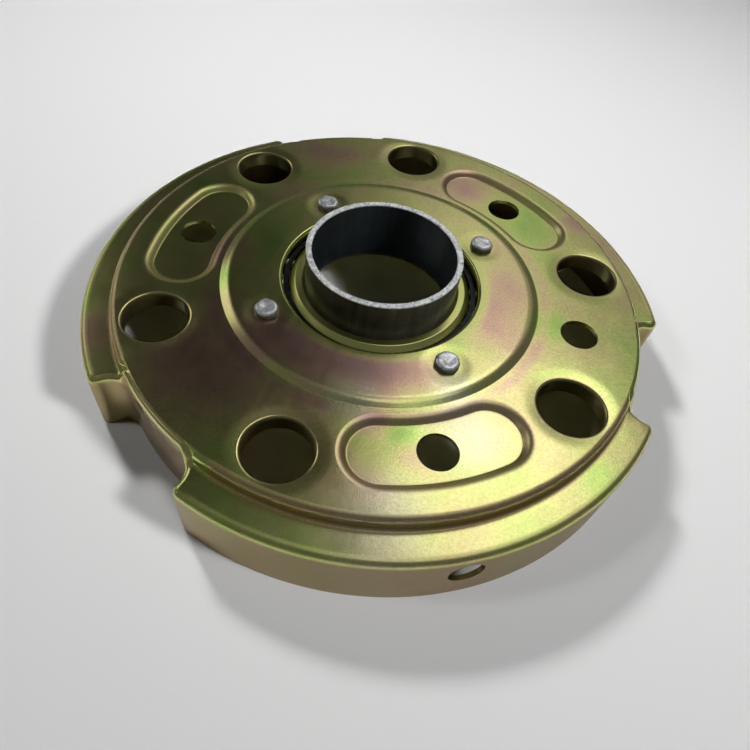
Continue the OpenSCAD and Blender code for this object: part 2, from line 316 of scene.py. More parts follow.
def narrow_step(place, a):
    """The step's section in a hollow corner, where the ledge is still narrow and shallow."""
    part = (math.hypot(place[0], place[1]) - STEP_IN_R) / STEP_W
    return [polar(STEP_IN_R + o * part, a, z / LEDGE * place[2]) for o, z in step]


face_ring = []
total = len(outline)
span = 360 / LOBES - 2 * FOOT_A
for k in range(LOBES):
    start = TURN + 360 / LOBES * k
    # The small allowance counts in the points that lie just on the lobe's ends
    lobe = [i for i in range(total)
            if 0 < (angle[i] - start - FOOT_A + 1e-4) % 360 < span + 2e-4]
    # The outline's list begins in the middle of a lobe, and that lobe's numbers run on past it
    wraps = max(lobe) - min(lobe) > total / 2
    lobe.sort(key=lambda i: i + total if wraps and i < total / 2 else i)
    edge = [rim_rows[i][0] for i in lobe]
    radius = [math.hypot(p[0], p[1]) for p in edge]
    full = [i for i, r in enumerate(radius) if r - STEP_IN_R > STEP_W - 1e-6]
    first, last = full[0], full[-1]
    at = [math.degrees(math.atan2(p[1], p[0])) % 360 for p in edge]
    at = [a if a - start > -60 else a + 360 for a in at]
    tip_a = [narrow_step(edge[t], at[t]) for t in range(first + 1)]
    tip_b = [narrow_step(edge[t], at[t]) for t in range(last, len(edge))]
    evenly = np.linspace(at[first] + 0.6, at[last] - 0.6, 96)
    middle = [[polar(STEP_IN_R + o, a, z) for o, z in step] for a in evenly]
    sections = tip_a + middle + tip_b
    skin.grid(sections, False)
    face_ring += [s[0] for s in sections]
    inner_edge = [tip_a[-1][-1]] + [s[-1] for s in middle] + [tip_b[0][-1]]
    skin.fill([inner_edge + edge[first + 1:last][::-1]], ledge_level)
print("skin faces so far:", len(skin.faces))

# %% [markdown]
# The face carries three kidney recesses, six drawn holes with turned-in collars, one plain
# hole, and the slope down from the plateau. Each is a strip round its own curve, and the
# face, the recesses' floors and the plateau fill what lies between them.

# %% Strips of the face
def circle_rows(centre, section, n):
    """A section (radius, height) carried round a centre."""
    rows = []
    for c in (turn(360 * i / n) for i in range(n)):
        rows.append([(centre[0] + r * c[0], centre[1] + r * c[1], z) for r, z in section])
    return rows


def circle_loop(centre, r, n, z):
    return [row[0] for row in circle_rows(centre, [(r, z)], n)]


def strip(rows):
    """A closed strip of the skin. Returns its outer and its inner loop."""
    skin.grid([row[::-1] for row in rows], True)
    return [r[0] for r in rows], [r[-1] for r in rows]


slope = round_path([(55.7, 0), (PLATEAU_OUT, 0), (PLATEAU_IN, PLATEAU_Z), (49.8, PLATEAU_Z)],
                   [1.2, 6.5], 7)
slope_out, slope_in = strip(circle_rows((0, 0), slope, 180))
openings = [slope_out]

kidney_section = round_path([(1.9, 0), (0.35, 0), (-1.3, KIDNEY_Z), (-1.9, KIDNEY_Z)],
                            [3.0, 0.6], 6)
floors = []
for k in range(LOBES):
    mid = 60 + 120 * k
    a0, a1 = mid - KIDNEY_A, mid + KIDNEY_A
    path = arc(np.zeros(2), KIDNEY_R + KIDNEY_W, a0, a1, 26)
    path += arc(KIDNEY_R * turn(a1), KIDNEY_W, a1, a1 + 180, 20)[1:]
    path += arc(np.zeros(2), KIDNEY_R - KIDNEY_W, a1, a0, 20, -1)[1:]
    path += arc(KIDNEY_R * turn(a0), KIDNEY_W, a0 + 180, a0 + 360, 20)[1:-1]
    wall = [[(p[0] + n[0] * o, p[1] + n[1] * o, z) for o, z in kidney_section] for p, n in path]
    outer, inner = strip(wall)
    openings.append(outer)
    floors.append((inner, KIDNEY_R * turn(mid)))

lip = [(DRAWN_R + LIP * (1 - s), -LIP * (1 - c)) for s, c in quarter(6)]
lip.append((DRAWN_R, DRAWN_FOOT))
for k in range(LOBES):
    for way in (-1, 1):
        centre = DRAWN_PITCH * turn(120 * k + way * DRAWN_A)
        openings.append(strip(circle_rows(centre, lip, 64))[0])
openings.append(circle_loop(KIDNEY_R * turn(0), PLAIN_R, 48, 0))

# %% [markdown]
# The flats between the strips. The mouth round the race has a short collar, and the plateau
# is left open where the rivets stand.

# %% Flats of the face
def rivet_place(i):
    return RIVET_PITCH * turn(45 + 90 * i)


notch_edge = [row[0] for row, (_, _, h) in zip(rim_rows, outline) if h == 0.0]
face_edge = sorted({(round(p[0], 4), round(p[1], 4)) for p in notch_edge + face_ring},
                   key=lambda p: math.atan2(p[1], p[0]))
skin.fill([[(x, y, 0) for x, y in face_edge]] + openings, 0.0)
for loop, centre in floors:
    skin.fill([loop, circle_loop(centre, PLAIN_R, 48, KIDNEY_Z)], KIDNEY_Z)
mouth = [(MOUTH_R + MOUTH_EDGE * (1 - s), PLATEAU_Z - MOUTH_EDGE * (1 - c))
         for s, c in quarter(7)]
mouth.append((MOUTH_R, MOUTH_FOOT))
mouth_out, _ = strip(circle_rows((0, 0), mouth, 180))
rivet_holes = [circle_loop(rivet_place(i), RIVET_HOLE_R, 24, PLATEAU_Z) for i in range(4)]
skin.fill([slope_in, mouth_out] + rivet_holes, PLATEAU_Z)
print("skin:", len(skin.verts), "vertices,", len(skin.faces), "faces")

# %% [markdown]
# The skin becomes the pressing: thickness inwards, a trace of roundness on the sheared
# edges, and normals weighted by face so that the flats stay flat in reflections.

# %% Pressing
def add_modifier(obj, kind, **values):
    m = obj.modifiers.new(kind.lower(), kind)
    for key, value in values.items():
        setattr(m, key, value)


def smooth_shade(obj):
    for poly in obj.data.polygons:
        poly.use_smooth = True


pressing = skin.to_object("pressing")
smooth_shade(pressing)
add_modifier(pressing, "SOLIDIFY", thickness=SHEET * MM, offset=-1.0, use_even_offset=True,
             use_quality_normals=True)
add_modifier(pressing, "BEVEL", width=0.00016, segments=2, limit_method="ANGLE",
             angle_limit=math.radians(55))
add_modifier(pressing, "WEIGHTED_NORMAL", keep_sharp=True, weight=60)
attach(pressing, "wheel")
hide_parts("pulley_disc")


# %% [markdown]
# Turned pieces, such as the tube, the ring and the rivets, are one section carried round an
# axis. The section runs from the axis outwards and round, and a wobble function may move each
# point a little, because a sawn or hammered edge is never quite even.

# %% Turned pieces
def revolve(name, section, n, body, solid, centre=(0.0, 0.0), closed=True, wobble=None):
    """Carry a section (radius, height) round a vertical axis and hand it to its body."""
    net, rows = Net(), []
    for i in range(n):
        a = 360 * i / n
        c = turn(a)
        row = []
        for r, z in section:
            dr, dz = wobble(a, r, z) if wobble else (0.0, 0.0)
            row.append((centre[0] + (r + dr) * c[0], centre[1] + (r + dr) * c[1], z + dz))
        if closed:
            row.append(row[0])
        rows.append(row)
    net.grid(rows, True)
    obj = net.to_object(name)
    smooth_shade(obj)
    add_modifier(obj, "WEIGHTED_NORMAL", keep_sharp=True, weight=60)
    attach(obj, body)
    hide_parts(solid)
    print(name, "faces:", len(obj.data.polygons))
    return obj


# %% [markdown]
# The hub is a length of drawn tube. Its upper end was cut with a saw and never faced, so the
# edge is a little wavy, has a burr on the outside, and is the one bare, light place on it. Its
# foot is flared to lock the race ring.

# %% Hub tube
BORE_R, TUBE_R, TUBE_TOP, TUBE_FOOT = 24.25, 26.25, 12.7, -11.1
TUBE_STEPS, SAWN = 320, 1.2
rng = np.random.default_rng(7)
saw = [(rng.uniform(0.2, 1.0) / k, rng.uniform(0, 360), k) for k in (1, 2, 3, 5, 8, 13, 21, 34)]


def saw_wave(a):
    """Unevenness of the sawn edge at this angle, -1 to 0."""
    s = sum(h * math.cos(math.radians(k * a + p)) for h, p, k in saw)
    return max(-1.0, min(0.0, 0.45 * s - 0.5))


def smooth_noise(n, width):
    """Seeded random numbers round a circle, smoothed over a few steps, 0 to 1."""
    raw = rng.uniform(0, 1, n)
    kernel = np.ones(width) / width
    soft = np.convolve(np.concatenate([raw, raw, raw]), kernel, "same")[n:2 * n]
    return (soft - soft.min()) / (soft.max() - soft.min())


ragged = smooth_noise(TUBE_STEPS, 3) * smooth_noise(TUBE_STEPS, 23)


def sawn_end(a, r, z):
    """Waves over the sawn millimetre, and a ragged burr on both edges of the cut."""
    if z <= TUBE_TOP - SAWN:
        return 0.0, 0.0
    burr, lift = 0.0, 0.16 * saw_wave(a) * (z - TUBE_TOP + SAWN) / SAWN
    if z > TUBE_TOP - 0.2:
        here = int(round(a / 360 * TUBE_STEPS))
        burr = (0.10 if r > 25.2 else -0.14) * ragged[here % TUBE_STEPS]
        lift += -0.10 * ragged[(here + 57) % TUBE_STEPS]
    return burr, lift


tube_section = [(BORE_R, TUBE_TOP - 1.5), (BORE_R, TUBE_TOP - 0.3), (BORE_R + 0.08, TUBE_TOP - 0.1),
                (BORE_R + 0.25, TUBE_TOP), (25.25, TUBE_TOP - 0.03), (TUBE_R - 0.2, TUBE_TOP),
                (TUBE_R - 0.05, TUBE_TOP - 0.1), (TUBE_R, TUBE_TOP - 0.3), (TUBE_R, TUBE_TOP - 1.5)]
tube_section += [(TUBE_R, z) for z in (8.0, 4.0, 0.0, -4.0, -8.6)]
tube_section += [(TUBE_R + 0.05, -9.1), (TUBE_R + 0.5, -10.0), (TUBE_R + 1.1, -11.0),
                 (TUBE_R + 1.0, TUBE_FOOT), (BORE_R + 1.25, TUBE_FOOT), (BORE_R + 1.1, -10.95),
                 (BORE_R + 0.5, -9.7), (BORE_R + 0.05, -8.6)]
tube_section += [(BORE_R, z) for z in (-7.5, -4.0, 0.0, 4.0, 8.0)]
hub_tube = revolve("hub_tube_sawn", tube_section, TUBE_STEPS, "hub", "hub_tube",
                   wobble=sawn_end)

# %% [markdown]
# The race ring round the tube was turned from bar, so its edges are small even chamfers. The
# ball groove is cut into its outside, and its bore opens a little where the tube was let in.

# %% Inner race ring
RACE_R, RACE_TOP, RACE_FOOT = 31.55, -1.0, -11.1
BALL_PITCH, BALL_Z, GROOVE_R = 33.45, -6.0, 3.05
reach = math.degrees(math.acos((BALL_PITCH - RACE_R) / GROOVE_R))
groove = []
for a in np.linspace(reach, -reach, 13)[1:-1]:
    c, s = turn(a)
    groove.append((BALL_PITCH - GROOVE_R * c, BALL_Z + GROOVE_R * s))
above = round_path([(TUBE_R + 0.02, -4.0), (TUBE_R + 0.02, RACE_TOP - 1.1), (27.35, RACE_TOP),
                    (RACE_R - 2.0, RACE_TOP), (RACE_R, RACE_TOP - 1.5), (RACE_R, BALL_Z + 2.6)],
                   [0.3, 0.3, 0.8, 0.5], 3)
below = round_path([(RACE_R, BALL_Z - 2.6), (RACE_R, RACE_FOOT), (27.5, RACE_FOOT),
                    (26.4, -9.1), (TUBE_R + 0.02, -8.9)], [0.4, 0.1, 0.1], 3)
ring_section = [tuple(p) for p in above] + groove + [tuple(p) for p in below]
inner_ring = revolve("race_ring_turned", ring_section, 180, "hub", "inner_race")

# %% [markdown]
# The rivets were hammered flat over the plateau. Each blow left a shallow dent, so no two heads
# are the same, and their rims stand a little out of round.

# %% Rivets
HEAD_R, HEAD_FOOT, HEAD_TOP, FLANGE_BACK = 4.2, 1.2, 3.4, -1.8
SHANK_R, SET_R, SET_H = 2.25, 3.7, 2.0
DEEPEST = -0.45


def blows(seed):
    """Dents and an uneven rim for one head, from its own seed."""
    rng = np.random.default_rng(seed)
    dents = [(rng.uniform(0, 2.9), rng.uniform(0, 360), rng.uniform(0.9, 1.7),
              rng.uniform(0.06, 0.2)) for _ in range(9)]
    bulges = [(rng.uniform(0.02, 0.09), rng.uniform(0, 360), k) for k in (2, 3, 5, 7)]

    def hammered(a, r, z):
        out, sink = 0.0, 0.0
        if z > HEAD_FOOT + 0.05:
            waves = sum(h * (1 + math.cos(math.radians(k * a + p))) for h, p, k in bulges)
            out = -waves * r / HEAD_R
        if z > HEAD_TOP - 0.7:
            x, y = r * turn(a)
            for d, b, w, depth in dents:
                bx, by = d * turn(b)
                sink -= depth * math.exp(-((x - bx) ** 2 + (y - by) ** 2) / w ** 2)
        return out, max(sink, DEEPEST)

    return hammered


head = [(0.02, HEAD_TOP), (0.7, HEAD_TOP), (1.4, HEAD_TOP), (2.1, HEAD_TOP - 0.02),
        (2.8, HEAD_TOP - 0.06), (3.3, HEAD_TOP - 0.14), (3.65, HEAD_TOP - 0.3),
        (3.95, HEAD_TOP - 0.6), (HEAD_R - 0.08, HEAD_TOP - 0.95), (HEAD_R, 2.2),
        (HEAD_R - 0.04, 1.75), (HEAD_R - 0.2, 1.35), (HEAD_R - 0.45, HEAD_FOOT),
        (SHANK_R, HEAD_FOOT), (SHANK_R, 0.0), (SHANK_R, FLANGE_BACK), (SET_R - 0.1, FLANGE_BACK)]
dome = (SET_R ** 2 + SET_H ** 2) / (2 * SET_H)
head += [(dome * math.sin(t), FLANGE_BACK - SET_H + dome * (1 - math.cos(t)))
         for t in np.linspace(math.asin(SET_R / dome), 0.01, 9)]
rivets = [revolve(f"rivet_hammered_{i + 1}", head, 48, "wheel", f"rivet_{i + 1}",
                  centre=rivet_place(i), closed=False, wobble=blows(31 + i)) for i in range(4)]

# %% [markdown]
# Every finish is a small net of nodes. This helper wires them from plain numbers and from
# each other, so that a finish reads like arithmetic on places given in millimetres.

# %% Helper for finishes
def put(tree, socket, value):
    """Join a socket to a node's output, or set it to a number or a colour."""
    if isinstance(value, bpy.types.NodeSocket):
        tree.links.new(value, socket)
    else:
        socket.default_value = value


class Finish:
    def __init__(self, name, metallic=1.0):
        self.mat = bpy.data.materials.new(name)
        self.mat.use_nodes = True
        self.tree = self.mat.node_tree
        self.shader = self.tree.nodes["Principled BSDF"]
        self.shader.inputs["Metallic"].default_value = metallic
        coord = self.add("ShaderNodeTexCoord")
        self.place = self.vector("SCALE", coord.outputs["Object"], scale=1000.0)
        split = self.add("ShaderNodeSeparateXYZ")
        self.tree.links.new(self.place, split.inputs[0])
        self.x, self.y, self.z = split.outputs
        self.radius = self.hypot(self.x, self.y)
        geo = self.add("ShaderNodeNewGeometry")
        face = self.add("ShaderNodeSeparateXYZ")
        local = self.add("ShaderNodeVectorTransform", vector_type="NORMAL",
                         convert_from="WORLD", convert_to="OBJECT")
        self.tree.links.new(geo.outputs["True Normal"], local.inputs[0])
        self.tree.links.new(local.outputs[0], face.inputs[0])
        self.upward = face.outputs["Z"]

    def add(self, kind, **settings):
        node = self.tree.nodes.new(kind)
        for key, value in settings.items():
            setattr(node, key, value)
        return node

    def put(self, socket, value):
        put(self.tree, socket, value)

    def math(self, op, a, b=0.0, c=0.0):
        node = self.add("ShaderNodeMath", operation=op)
        for socket, value in zip(node.inputs, (a, b, c)):
            self.put(socket, value)
        return node.outputs[0]

    def vector(self, op, a, b=(0.0, 0.0, 0.0), scale=1.0):
        node = self.add("ShaderNodeVectorMath", operation=op)
        self.put(node.inputs[0], a)
        if op == "SCALE":
            self.put(node.inputs["Scale"], scale)
        else:
            self.put(node.inputs[1], b)
        return node.outputs["Value" if op == "DISTANCE" else "Vector"]

    def hypot(self, a, b):
        """Length of a line from its two parts."""
        squares = self.math("ADD", self.math("MULTIPLY", a, a), self.math("MULTIPLY", b, b))
        return self.math("POWER", squares, 0.5)

    def noise(self, size, detail=2.0, rough=0.5, stretch=(1.0, 1.0, 1.0), shift=(0.0, 0.0, 0.0)):
        """Cloudy noise, 0 to 1, whose features are about this many millimetres wide."""
        place = self.vector("MULTIPLY", self.vector("ADD", self.place, shift), stretch)
        node = self.add("ShaderNodeTexNoise", noise_dimensions="3D")
        self.put(node.inputs["Vector"], place)
        node.inputs["Scale"].default_value = 1.0 / size
        node.inputs["Detail"].default_value = detail
        node.inputs["Roughness"].default_value = rough
        return node.outputs[0]

    def near(self, distance, inner, outer):
        """1 up to the inner distance, 0 beyond the outer one, with a soft change between."""
        node = self.add("ShaderNodeMapRange", interpolation_type="SMOOTHERSTEP")
        for key, value in (("Value", distance), ("From Min", inner), ("From Max", outer),
                           ("To Min", 1.0), ("To Max", 0.0)):
            self.put(node.inputs[key], value)
        return node.outputs[0]

    def beyond(self, distance, inner, outer):
        """The reverse of near: 0 up to the inner distance, 1 beyond the outer one."""
        return self.math("SUBTRACT", 1.0, self.near(distance, inner, outer))

    def band(self, value, middle, inner, outer):
        """1 close to the middle value, 0 away from it on either side."""
        away = self.math("ABSOLUTE", self.math("SUBTRACT", value, middle))
        return self.near(away, inner, outer)

    def times(self, a, b):
        return self.math("MULTIPLY", a, b)

    def plus(self, base, mask, change):
        """Add a change to a value where the mask is 1."""
        return self.math("MULTIPLY_ADD", mask, change, base)

    def mixed(self, a, share_a, b, share_b):
        return self.math("MULTIPLY_ADD", a, share_a, self.times(b, share_b))

    def spread(self, value, low, high):
        """Map 0..1 noise to the range low..high."""
        return self.math("MULTIPLY_ADD", value, high - low, low)

    def ramp(self, value, stops):
        node = self.add("ShaderNodeValToRGB")
        points = node.color_ramp.elements
        while len(points) < len(stops):
            points.new(0.5)
        for point, (at, colour) in zip(points, stops):
            point.position = at
            point.color = (*colour, 1.0)
        self.put(node.inputs[0], value)
        return node.outputs[0]

    def blend(self, factor, a, b, how="MIX"):
        node = self.add("ShaderNodeMix", data_type="RGBA", blend_type=how)
        self.put(node.inputs[0], factor)
        for socket, value in zip((node.inputs[6], node.inputs[7]), (a, b)):
            self.put(socket, (*value, 1.0) if isinstance(value, tuple) else value)
        return node.outputs[2]

    def blend_value(self, factor, a, b):
        node = self.add("ShaderNodeMix", data_type="FLOAT")
        for socket, value in zip((node.inputs[0], node.inputs[2], node.inputs[3]), (factor, a, b)):
            self.put(socket, value)
        return node.outputs[0]

    def bump(self, *layers):
        """Stack of (height 0..1, depth in mm)."""
        last = None
        for height, depth in layers:
            node = self.add("ShaderNodeBump")
            node.inputs["Strength"].default_value = 1.0
            node.inputs["Distance"].default_value = abs(depth) * MM
            node.invert = depth < 0
            self.put(node.inputs["Height"], height)
            if last is not None:
                self.put(node.inputs["Normal"], last)
            last = node.outputs[0]
        self.put(self.shader.inputs["Normal"], last)

    def finish(self, colour, rough):
        self.put(self.shader.inputs["Base Color"], colour)
        self.put(self.shader.inputs["Roughness"], rough)
        print("finish", self.mat.name, "nodes:", len(self.tree.nodes))
        return self.mat


def dress(obj, mat):
    obj.data.materials.clear()
    obj.data.materials.append(mat)


# %% [markdown]
# The yellow passivation is a film so thin that it shows interference colours, as oil does on
# water. Its thickness changes slowly over the sheet and quickly at bends and holes, where the
# bath drained. So one number, the film, is built up first, and a colour ramp then reads it:
# green, lime, yellow, cream, salmon and violet brown.

# %% Colours and stains of the yellow film
FILM_COLOURS = [(0.00, (0.27, 0.42, 0.13)), (0.15, (0.40, 0.62, 0.16)), (0.30, (0.60, 0.76, 0.22)),
                (0.44, (0.76, 0.74, 0.29)), (0.56, (0.80, 0.66, 0.34)), (0.70, (0.76, 0.50, 0.36)),
                (0.84, (0.62, 0.39, 0.34)), (1.00, (0.43, 0.31, 0.31))]
# Painted highlight: pale cream patches where the front right mirrors the bright lamp: place, half
# width
PAINTED_HIGHLIGHTS = [(42, -52, 13), (24, -85, 15), (6, -52, 9), (34, -38, 8)]
# Broad stains where the bath ran or dried late: place, half width, change of the film
STAINS = [(41, 10, 12, 0.26), (40, -6, 11, 0.25), (-24, -38, 12, 0.20), (-9, -42, 12, 0.40),
          (9, -41, 12, 0.38), (22, -36, 9, 0.26), (-42, -53, 22, 0.24), (-26, -66, 14, 0.14),
          (-42, 64, 16, 0.26), (18, 69, 11, 0.34), (-29, 51, 9, -0.16), (-60, 24, 16, -0.16),
          (29, -64, 7, 0.22), (-40, 5, 13, -0.30), (60, -1, 9, -0.24), (-53, -8, 10, 0.20),
          (-45, -29, 9, 0.14), (-20, 76, 9, 0.16), (-86, 0, 15, -0.12), (-82, -24, 9, -0.16),
          (-8, -60, 12, 0.20), (14, -58, 6, 0.24), (24, -58, 5, -0.14), (22, -79, 8, 0.18),
          (29, -22, 6, -0.22), (81, -50, 8, -0.14), (-78, -52, 10, 0.20), (46, 52, 10, -0.10),
          (62, 61, 8, 0.22), (-43, 77, 9, -0.24), (-40, 23, 8, -0.20), (-82, 22, 9, -0.20),
          (34, 34, 7, 0.14), (82, 22, 7, 0.16)]


def spot(f, x, y, half):
    """Soft round patch in plan, about this half width."""
    flat = f.vector("MULTIPLY", f.place, (1.0, 1.0, 0.0))
    return f.near(f.vector("DISTANCE", flat, (x, y, 0.0)), 0.0, half * 1.5)


# %% [markdown]
# Where each feature lies, as soft masks. The wheel repeats three times and each third is
# mirrored, so the angle is folded into one half third, and one hole and one recess stand for
# all of them.

# %% Masks of the pressing's features
STEP_MID_R, CREST_MID_R = 89.5, 98.8


class Features:
    def __init__(self, f):
        folded = f.math("PINGPONG", f.math("ARCTAN2", f.y, f.x), math.pi / 3)
        x = f.times(f.radius, f.math("COSINE", folded))
        y = f.times(f.radius, f.math("SINE", folded))

        def distance(centre):
            return f.hypot(f.math("SUBTRACT", x, centre[0]), f.math("SUBTRACT", y, centre[1]))

        self.from_drawn = distance(DRAWN_PITCH * turn(DRAWN_A))
        self.collar = f.near(self.from_drawn, DRAWN_R + 0.2, DRAWN_R + 0.8)
        # Distance to the wall of a kidney recess, whose ends are round
        past_end = f.math("LESS_THAN", folded, math.radians(60 - KIDNEY_A))
        to_arc = f.math("ABSOLUTE", f.math("SUBTRACT", f.radius, KIDNEY_R))
        inwards = f.blend_value(past_end, to_arc, distance(KIDNEY_R * turn(60 - KIDNEY_A)))
        self.to_wall = f.math("ABSOLUTE", f.math("SUBTRACT", inwards, KIDNEY_W))
        self.on_lobe = f.beyond(folded, math.radians(SIDE), math.radians(SIDE + 4))
        self.step = f.times(self.on_lobe, f.band(f.radius, STEP_MID_R, 0.9, 2.2))
        self.crest = f.times(self.on_lobe, f.band(f.radius, CREST_MID_R, 0.7, 2.0))
        # The four rivets repeat by quarters, so here the angle is folded anew
        eighth = f.math("PINGPONG", f.math("ARCTAN2", f.y, f.x), math.pi / 4)
        to_rivet = f.math("SUBTRACT", math.pi / 4, eighth)
        along = f.math("SUBTRACT", f.times(f.radius, f.math("COSINE", to_rivet)), RIVET_PITCH)
        self.from_rivet = f.hypot(along, f.times(f.radius, f.math("SINE", to_rivet)))


def marked_film(f, film, on):
    """The film's thickness with stains and with what each feature did to it."""
    for x, y, half, change in STAINS:
        film = f.plus(film, spot(f, x, y, half), change)
    # A pink line outside the plateau's foot and a green one on its slope
    film = f.plus(film, f.band(f.radius, 57.6, 0.2, 3.2), 0.10)
    film = f.plus(film, f.band(f.radius, 53.6, 0.6, 3.0), -0.06)
    # Lime rings round the drawn holes, with an orange lip
    film = f.plus(film, f.near(on.from_drawn, DRAWN_R + 2.0, DRAWN_R + 5.0), -0.04)
    film = f.blend_value(f.times(f.near(on.from_drawn, DRAWN_R + 0.8, DRAWN_R + 3.0), 0.8),
                         film, 0.52)
    # The mouth's edge is yellow, and the walls of the kidney recesses are orange
    film = f.blend_value(f.near(f.radius, MOUTH_R + 1.0, MOUTH_R + 6.0), film, 0.40)
    film = f.plus(film, f.near(on.to_wall, 0.6, 3.0), 0.09)
    # The step of each lobe has a brown film; the finish also darkens it as painted shade
    return f.blend_value(f.times(on.step, 0.7), film, 0.62)


# %% [markdown]
# The zinc finish itself. The race plate has it plain. The pressing has it with its features:
# where the press worked the sheet hardest the surface is rougher, and the sheet sinks a little
# round each rivet and each drawn hole.

# %% Yellow zinc on the pressing
def zinc_finish(name, with_features):
    f = Finish(name)
    on = Features(f) if with_features else None
    film = f.times(f.noise(38, 1.5, 0.5), 0.60)
    film = f.plus(film, f.noise(12, 2.0, 0.55, shift=(31, 7, 3)), 0.26)
    film = f.math("ADD", film, 0.01)
    if on:
        film = marked_film(f, film, on)
    colour = f.ramp(film, FILM_COLOURS)
    if on:
        # Painted highlight: pale cream patches laid over the front right, where it mirrors the
        # bright lamp
        for x, y, half in PAINTED_HIGHLIGHTS:
            colour = f.blend(f.times(spot(f, x, y, half), 0.55), colour, (0.86, 0.83, 0.62))
        # Painted shade: the step band is darkened towards brown, for the dark room it mirrors
        colour = f.blend(f.times(on.step, 0.45), colour, (0.50, 0.36, 0.17))
    # Fine satin mottle, as the etched sheet has
    satin = f.noise(0.7, 2.0, 0.6, shift=(4, 8, 15))
    mottled = f.blend(1.0, colour, (0.68, 0.68, 0.65), "MULTIPLY")
    colour = f.blend(f.spread(satin, -0.35, 1.0), colour, mottled)
    # Painted shade: upright walls low on the part are painted darker and browner, for the shaded
    # floor they mirror; they are also rougher
    wall = f.near(f.math("ABSOLUTE", f.upward), 0.15, 0.75)
    low = f.near(f.z, -8.0, -5.5)
    wall_shade_and_dullness = f.times(wall, f.times(low, 0.90))
    colour = f.blend(wall_shade_and_dullness, colour, f.blend(0.82, colour, (0.28, 0.17, 0.105)))
    if on:
        # Painted shade: the collars and the inside of the skirt are painted dark, where shade falls
        # in them
        hollow = f.times(f.times(low, on.on_lobe), f.near(f.radius, 98.0, 99.0))
        shade = f.times(f.math("MAXIMUM", on.collar, hollow), 0.6)
        colour = f.blend(shade, colour, (0.11, 0.09, 0.045))
    # Fine dark specks, only in a few cells of the pattern
    specks = f.add("ShaderNodeTexVoronoi", feature="F1")
    f.put(specks.inputs["Vector"], f.place)
    specks.inputs["Scale"].default_value = 1.0 / 7.0
    dot = f.near(specks.outputs["Distance"], 0.012, 0.035)
    rare = f.near(specks.outputs["Color"], 0.20, 0.24)
    colour = f.blend(f.times(f.times(dot, rare), 0.75), colour, (0.05, 0.045, 0.03))
    # Gloss: cloudy, with wiped streaks, and duller on walls and where the sheet was worked
    streak = f.noise(1.0, 2.0, 0.5, stretch=(0.9, 0.03, 0.9), shift=(2, 3, 4))
    rough = f.spread(f.noise(9, 2.0, 0.5, shift=(5, 50, 9)), 0.15, 0.24)
    rough = f.plus(rough, streak, 0.04)
    rough = f.plus(rough, wall_shade_and_dullness, 0.12)
    layers = [(f.noise(18, 1.0, 0.5, shift=(9, 1, 70)), 0.12), (f.noise(0.45, 3.0, 0.6), 0.015)]
    if on:
        for mask, change in ((on.step, 0.20), (on.crest, 0.14),
                             (f.near(on.to_wall, 0.8, 2.4), 0.14), (on.collar, 0.12)):
            rough = f.plus(rough, mask, change)
        layers.append((f.near(on.from_rivet, 3.5, 9.5), -0.22))
        layers.append((f.near(on.from_drawn, DRAWN_R - 2.0, DRAWN_R + 6.0), -0.30))
    f.bump(*layers)
    return f.finish(colour, rough)


dress(pressing, zinc_finish("yellow_zinc_pressing", True))
dress(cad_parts["race_plate"], zinc_finish("yellow_zinc_plate", False))

# %% [markdown]
# The turned ring carries the same film, more even and more golden, over fine turning grooves
# that run round it.

# %% Yellow zinc on the race ring
f = Finish("yellow_zinc_ring_turned")
turned = f.add("ShaderNodeTexNoise", noise_dimensions="2D")
around = f.add("ShaderNodeCombineXYZ")
f.put(around.inputs[0], f.radius)
f.put(around.inputs[1], f.z)
f.put(turned.inputs["Vector"], around.outputs[0])
turned.inputs["Scale"].default_value = 6.0
colour = f.ramp(f.plus(0.20, f.noise(11, 2.0), 0.35), FILM_COLOURS)
colour = f.blend(0.35, colour, (0.74, 0.66, 0.28))
f.bump((turned.outputs[0], 0.006))
dress(inner_ring, f.finish(colour, f.spread(f.noise(3), 0.24, 0.36)))

# %% [markdown]
# The tube is drawn steel with a dark, oily skin that shows faint streaks along it. Inside it is
# bluer and painted much darker, as painted shade in the bore. Only the sawn end is bare: light,
# mottled and crossed by the saw's marks.

# %% Tube steel
DRAWN_METALLIC, BARE_METALLIC = 0.65, 0.40
f = Finish("tube_dark_drawn", metallic=DRAWN_METALLIC)
streaks = f.noise(2.2, 3.0, 0.55, stretch=(1.0, 1.0, 0.08))
blots = f.noise(7, 3.0, 0.6, shift=(3, 30, 2))
outside = f.ramp(f.mixed(blots, 0.6, streaks, 0.4),
                 [(0.25, (0.060, 0.056, 0.046)), (0.55, (0.145, 0.135, 0.105)),
                  (0.80, (0.34, 0.32, 0.25))])
# Painted shade: the bore is painted bluer and much darker than the outside
bore_bluer_and_shaded = f.ramp(f.mixed(blots, 0.5, streaks, 0.5),
                 [(0.25, (0.020, 0.026, 0.029)), (0.60, (0.042, 0.052, 0.056)),
                  (0.85, (0.085, 0.10, 0.108))])
colour = f.blend(f.near(f.radius, BORE_R + 0.1, BORE_R + 0.5), outside, bore_bluer_and_shaded)
saw_lines = f.noise(0.5, 2.0, 0.6, stretch=(1.0, 0.12, 1.0), shift=(11, 2, 1))
mottle = f.noise(1.6, 3.0, 0.65)
bare = f.ramp(f.mixed(mottle, 0.6, saw_lines, 0.4),
              [(0.32, (0.14, 0.15, 0.15)), (0.46, (0.60, 0.62, 0.61)), (0.62, (0.94, 0.95, 0.94))])
is_top = f.beyond(f.z, TUBE_TOP - 0.75, TUBE_TOP - 0.35)
colour = f.blend(is_top, colour, bare)
f.put(f.shader.inputs["Metallic"], f.plus(DRAWN_METALLIC, is_top, BARE_METALLIC - DRAWN_METALLIC))
rough = f.plus(f.spread(streaks, 0.28, 0.44), is_top, 0.14)
f.bump((streaks, 0.010), (f.times(is_top, mottle), 0.06), (f.times(is_top, saw_lines), 0.03))
dress(hub_tube, f.finish(colour, rough))
